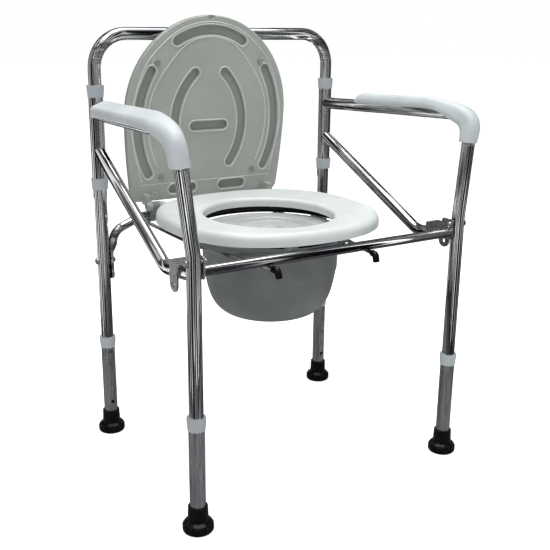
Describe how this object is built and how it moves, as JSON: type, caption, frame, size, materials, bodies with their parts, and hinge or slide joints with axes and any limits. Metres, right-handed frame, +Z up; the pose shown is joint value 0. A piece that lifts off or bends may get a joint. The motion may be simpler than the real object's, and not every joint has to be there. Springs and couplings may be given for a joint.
{
  "type": "commode chair",
  "caption": "Folding commode chair of chromed tube with telescopic legs, covered armrests, ring seat, raised lid and a round pail on rails.",
  "frame": {"origin": "floor level under the middle of the four legs", "axes": "+Z up, the sitter faces -Y, +X to the right as seen from the front"},
  "size_m": [0.574, 0.437, 0.7662],
  "materials": {
    "chromed_steel": "polished",
    "satin_steel": "satin",
    "zinc_steel": "satin",
    "collar_plastic": "satin",
    "cover_plastic": "satin",
    "seat_plastic": "satin",
    "lid_plastic": "satin",
    "pail_plastic": "satin",
    "pail_lid_plastic": "translucent",
    "bumper_rubber": "matte",
    "black_rubber": "satin"
  },
  "bodies": {
    "frame": {"back_hoop": "chromed_steel", "rear_arch": "chromed_steel", "front_crossbar": "chromed_steel", "arm_frame_left": "chromed_steel", "arm_frame_right": "chromed_steel", "sleeve_left": "chromed_steel", "sleeve_right": "chromed_steel", "brace_left": "chromed_steel", "brace_right": "chromed_steel", "hook_bracket_left": "chromed_steel", "hook_bracket_right": "chromed_steel", "arm_cover_left": "cover_plastic", "arm_cover_right": "cover_plastic", "lower_sleeve_collars": "collar_plastic", "upper_sleeve_collars": "collar_plastic", "arch_bolts": "zinc_steel", "arch_nuts": "zinc_steel", "bracket_bolts": "zinc_steel", "bracket_nuts": "zinc_steel", "snap_clip_front_left": "zinc_steel", "snap_clip_front_right": "zinc_steel", "snap_clip_rear_left": "zinc_steel", "snap_clip_rear_right": "zinc_steel", "pail_rails": "chromed_steel", "rail_caps": "black_rubber", "hinge_clips": "collar_plastic", "hinge_pins": "zinc_steel"},
    "seat": {"seat": "seat_plastic", "seat_bumpers": "bumper_rubber"},
    "lid": {"lid": "lid_plastic", "lid_lugs": "lid_plastic", "lid_bumpers": "bumper_rubber"},
    "pail": {"pail": "pail_plastic"},
    "pail_lid": {"pail_lid": "pail_lid_plastic"},
    "leg_front_left": {"leg_extension_front_left": "satin_steel", "leg_collar_front_left": "collar_plastic", "foot_front_left": "black_rubber"},
    "leg_front_right": {"leg_extension_front_right": "satin_steel", "leg_collar_front_right": "collar_plastic", "foot_front_right": "black_rubber"},
    "leg_rear_left": {"leg_extension_rear_left": "satin_steel", "leg_collar_rear_left": "collar_plastic", "foot_rear_left": "black_rubber"},
    "leg_rear_right": {"leg_extension_rear_right": "satin_steel", "leg_collar_rear_right": "collar_plastic", "foot_rear_right": "black_rubber"}
  },
  "joints": [
    {"name": "seat_hinge", "type": "hinge", "parent": "frame", "child": "seat", "pos_m": [-0.028, 0.175, 0.432], "axis": [-1, 0, 0], "range_deg": [0, 85]},
    {"name": "lid_hinge", "type": "hinge", "parent": "frame", "child": "lid", "pos_m": [-0.028, 0.175, 0.432], "axis": [-1, 0, 0], "range_deg": [-85.26, 0]},
    {"name": "pail_lift", "type": "slide", "parent": "frame", "child": "pail", "axis": [0, 0, 1], "range_m": [0, 0.009]},
    {"name": "pail_lid_lift", "type": "slide", "parent": "pail", "child": "pail_lid", "axis": [0, 0, 1], "range_m": [0, 0.011]},
    {"name": "leg_slide_front_left", "type": "slide", "parent": "frame", "child": "leg_front_left", "axis": [0, 0, -1], "range_m": [0, 0.0765], "deforming": ["snap_clip_front_left"]},
    {"name": "leg_slide_front_right", "type": "slide", "parent": "frame", "child": "leg_front_right", "axis": [0, 0, -1], "range_m": [0, 0.0765], "deforming": ["snap_clip_front_right"]},
    {"name": "leg_slide_rear_left", "type": "slide", "parent": "frame", "child": "leg_rear_left", "axis": [0, 0, -1], "range_m": [0, 0.0765], "deforming": ["snap_clip_rear_left"]},
    {"name": "leg_slide_rear_right", "type": "slide", "parent": "frame", "child": "leg_rear_right", "axis": [0, 0, -1], "range_m": [0, 0.0765], "deforming": ["snap_clip_rear_right"]}
  ]
}
